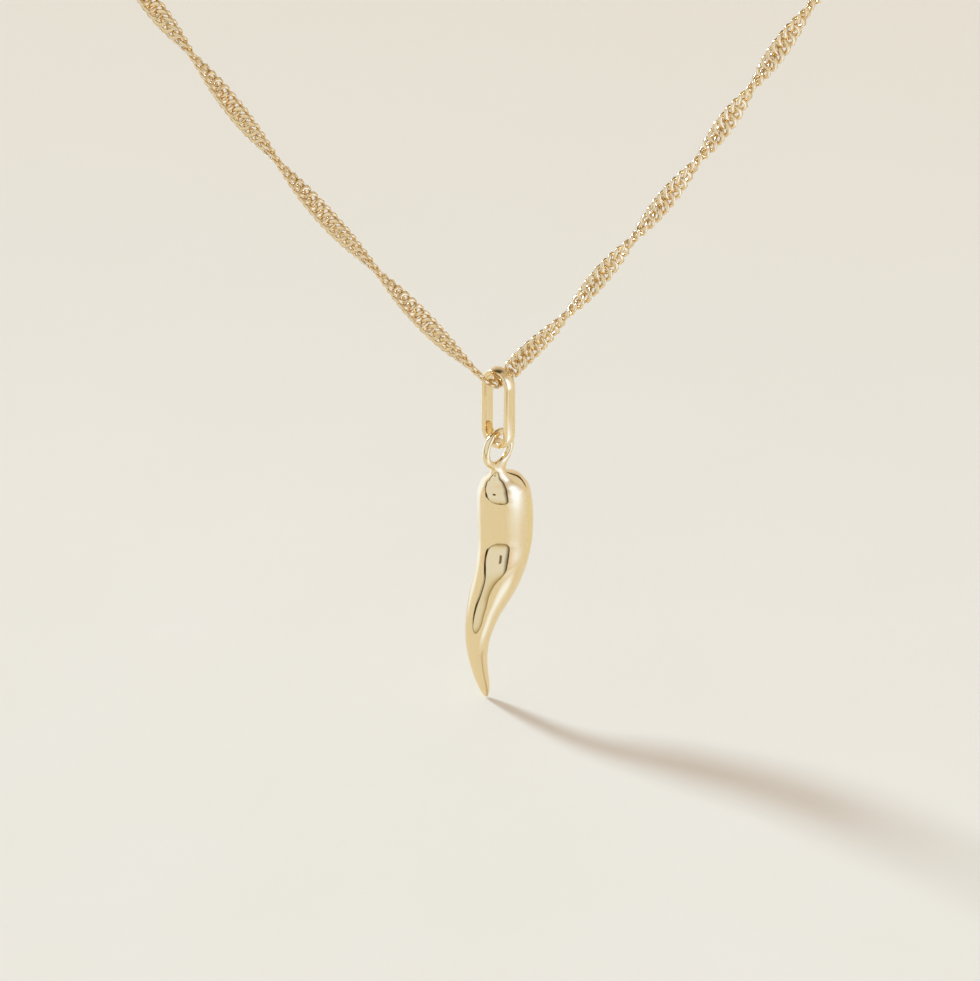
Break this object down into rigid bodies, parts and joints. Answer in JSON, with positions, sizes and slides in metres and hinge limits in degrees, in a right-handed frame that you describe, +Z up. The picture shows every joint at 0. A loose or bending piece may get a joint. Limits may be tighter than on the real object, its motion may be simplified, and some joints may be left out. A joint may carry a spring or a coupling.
{
  "type": "horn pendant on a chain necklace",
  "caption": "Small curved horn charm with a soldered wire eye, hanging free from an oblong bail link on a fine twisted curb chain with a plain round clasp at the nape.",
  "frame": {"origin": "middle of the neck that wears the necklace, level with the clasp at the nape", "axes": "+Z up along the neck, -Y to the wearer's front where the pendant hangs, +X to the right of a viewer who faces the pendant"},
  "size_m": [0.1078, 0.0989, 0.1131],
  "materials": {
    "polished_gold": "high mirror polish, pale yellow gold",
    "chain_gold": "bright pale yellow gold wire links with flattened faces"
  },
  "bodies": {
    "necklace": {"chain_left": "chain_gold", "chain_right": "chain_gold", "clasp": "polished_gold"},
    "bail": {"bail": "polished_gold"},
    "horn": {"horn": "polished_gold"}
  },
  "joints": [
    {"name": "bail_swing", "type": "hinge", "parent": "necklace", "child": "bail", "pos_m": [0, -0.048, -0.091], "axis": [0.766, 0.6428, 0], "range_deg": [-75, 75]},
    {"name": "horn_swing", "type": "hinge", "parent": "bail", "child": "horn", "pos_m": [0, -0.048, -0.09485], "axis": [0.6428, -0.766, 0], "range_deg": [-75, 75]}
  ]
}
